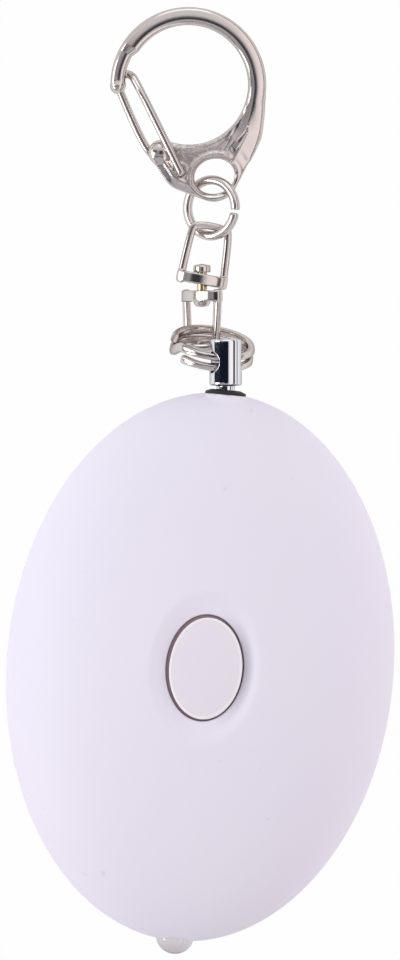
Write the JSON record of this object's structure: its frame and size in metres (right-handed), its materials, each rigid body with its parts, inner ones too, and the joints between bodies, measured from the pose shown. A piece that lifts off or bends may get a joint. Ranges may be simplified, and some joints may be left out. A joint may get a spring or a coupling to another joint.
{
  "type": "personal safety alarm",
  "caption": "Oval keyring alarm with a press button in a shallow dish, a lamp at one end and a pull pin on a split ring, swivel and clasp at the other.",
  "frame": {"origin": "centre of the case's flat back", "axes": "+Z out of the front face with the button, +Y along the case toward the pull pin, +X to the right seen from the front"},
  "size_m": [0.05, 0.1223, 0.0225],
  "materials": {
    "case_plastic": "soft matte",
    "button_plastic": "satin",
    "black_plastic": "moulded",
    "black_rubber": "matt",
    "clear_resin": "clear",
    "board": "solder mask",
    "ceramic": "fired",
    "wire_red": "insulation",
    "ferrite": "pressed",
    "copper": "enamelled",
    "bronze": "stamped",
    "steel": "plated",
    "nickel": "nickel plated",
    "pin_chrome": "polished"
  },
  "bodies": {
    "case": {"front_shell": "case_plastic", "rear_shell": "case_plastic", "case_screws": "steel", "circuit_board": "board", "switch_body": "black_plastic", "pin_grommet": "black_rubber", "pin_socket": "black_plastic", "socket_leaves": "bronze", "led_lens": "clear_resin", "led_legs": "steel", "siren_ring": "black_plastic", "siren_disc": "bronze", "siren_ceramic": "ceramic", "siren_wires": "wire_red", "cell_holder": "black_plastic", "coin_cells": "steel", "cell_contact": "bronze", "coil_core": "ferrite", "coil_winding": "copper", "transistor": "black_plastic", "driver_chip": "black_plastic", "capacitor": "black_plastic", "small_chips": "ceramic"},
    "press_button": {"button": "button_plastic", "switch_plunger": "black_plastic"},
    "door": {"battery_door": "case_plastic", "door_contact": "nickel"},
    "pin": {"pull_pin": "pin_chrome"},
    "ring": {"split_ring": "nickel"},
    "lower_swivel": {"swivel_lower_link": "nickel", "swivel_rivet": "bronze"},
    "upper_swivel": {"swivel_upper_link": "nickel"},
    "jump": {"jump_ring": "nickel"},
    "clasp": {"clasp_hook": "nickel"},
    "gate": {"clasp_gate": "nickel"}
  },
  "joints": [
    {"name": "button_press", "type": "slide", "parent": "case", "child": "press_button", "axis": [0, 0, -1], "range_m": [0, 0.0004], "stiffness_N_per_m": 1500},
    {"name": "door_twist", "type": "hinge", "parent": "case", "child": "door", "pos_m": [0, 0.00401, 0], "axis": [0, 0, 1], "range_deg": [0, 60]},
    {"name": "pin_pull", "type": "slide", "parent": "case", "child": "pin", "axis": [-0.0924, 0.9957, 0], "range_m": [0, 0.02]},
    {"name": "ring_swing", "type": "hinge", "parent": "pin", "child": "ring", "pos_m": [-0.00037, 0.03945, 0.0112], "axis": [0.9357, 0.0868, -0.342], "range_deg": [-30, 90]},
    {"name": "swivel_swing", "type": "hinge", "parent": "ring", "child": "lower_swivel", "pos_m": [-0.00329, 0.04286, 0.00269], "axis": [0.9357, 0.0868, -0.342], "range_deg": [-30, 40]},
    {"name": "swivel_spin", "type": "hinge", "parent": "lower_swivel", "child": "upper_swivel", "pos_m": [-0.00375, 0.04785, 0.00269], "axis": [-0.0924, 0.9957, 0], "continuous": true},
    {"name": "jump_ring_swing", "type": "hinge", "parent": "upper_swivel", "child": "jump", "pos_m": [-0.00338, 0.05697, 0.00269], "axis": [0.9869, -0.0811, -0.1392], "range_deg": [-40, 40]},
    {"name": "clasp_swing", "type": "hinge", "parent": "jump", "child": "clasp", "pos_m": [-0.00393, 0.06294, 0.00269], "axis": [0.8156, 0.0757, 0.5736], "range_deg": [-14, 14]},
    {"name": "gate_open", "type": "hinge", "parent": "clasp", "child": "gate", "pos_m": [-0.00815, 0.06377, 0.00269], "axis": [0, 0, -1], "range_deg": [0, 30], "stiffness_Nm_per_rad": 0.05}
  ]
}
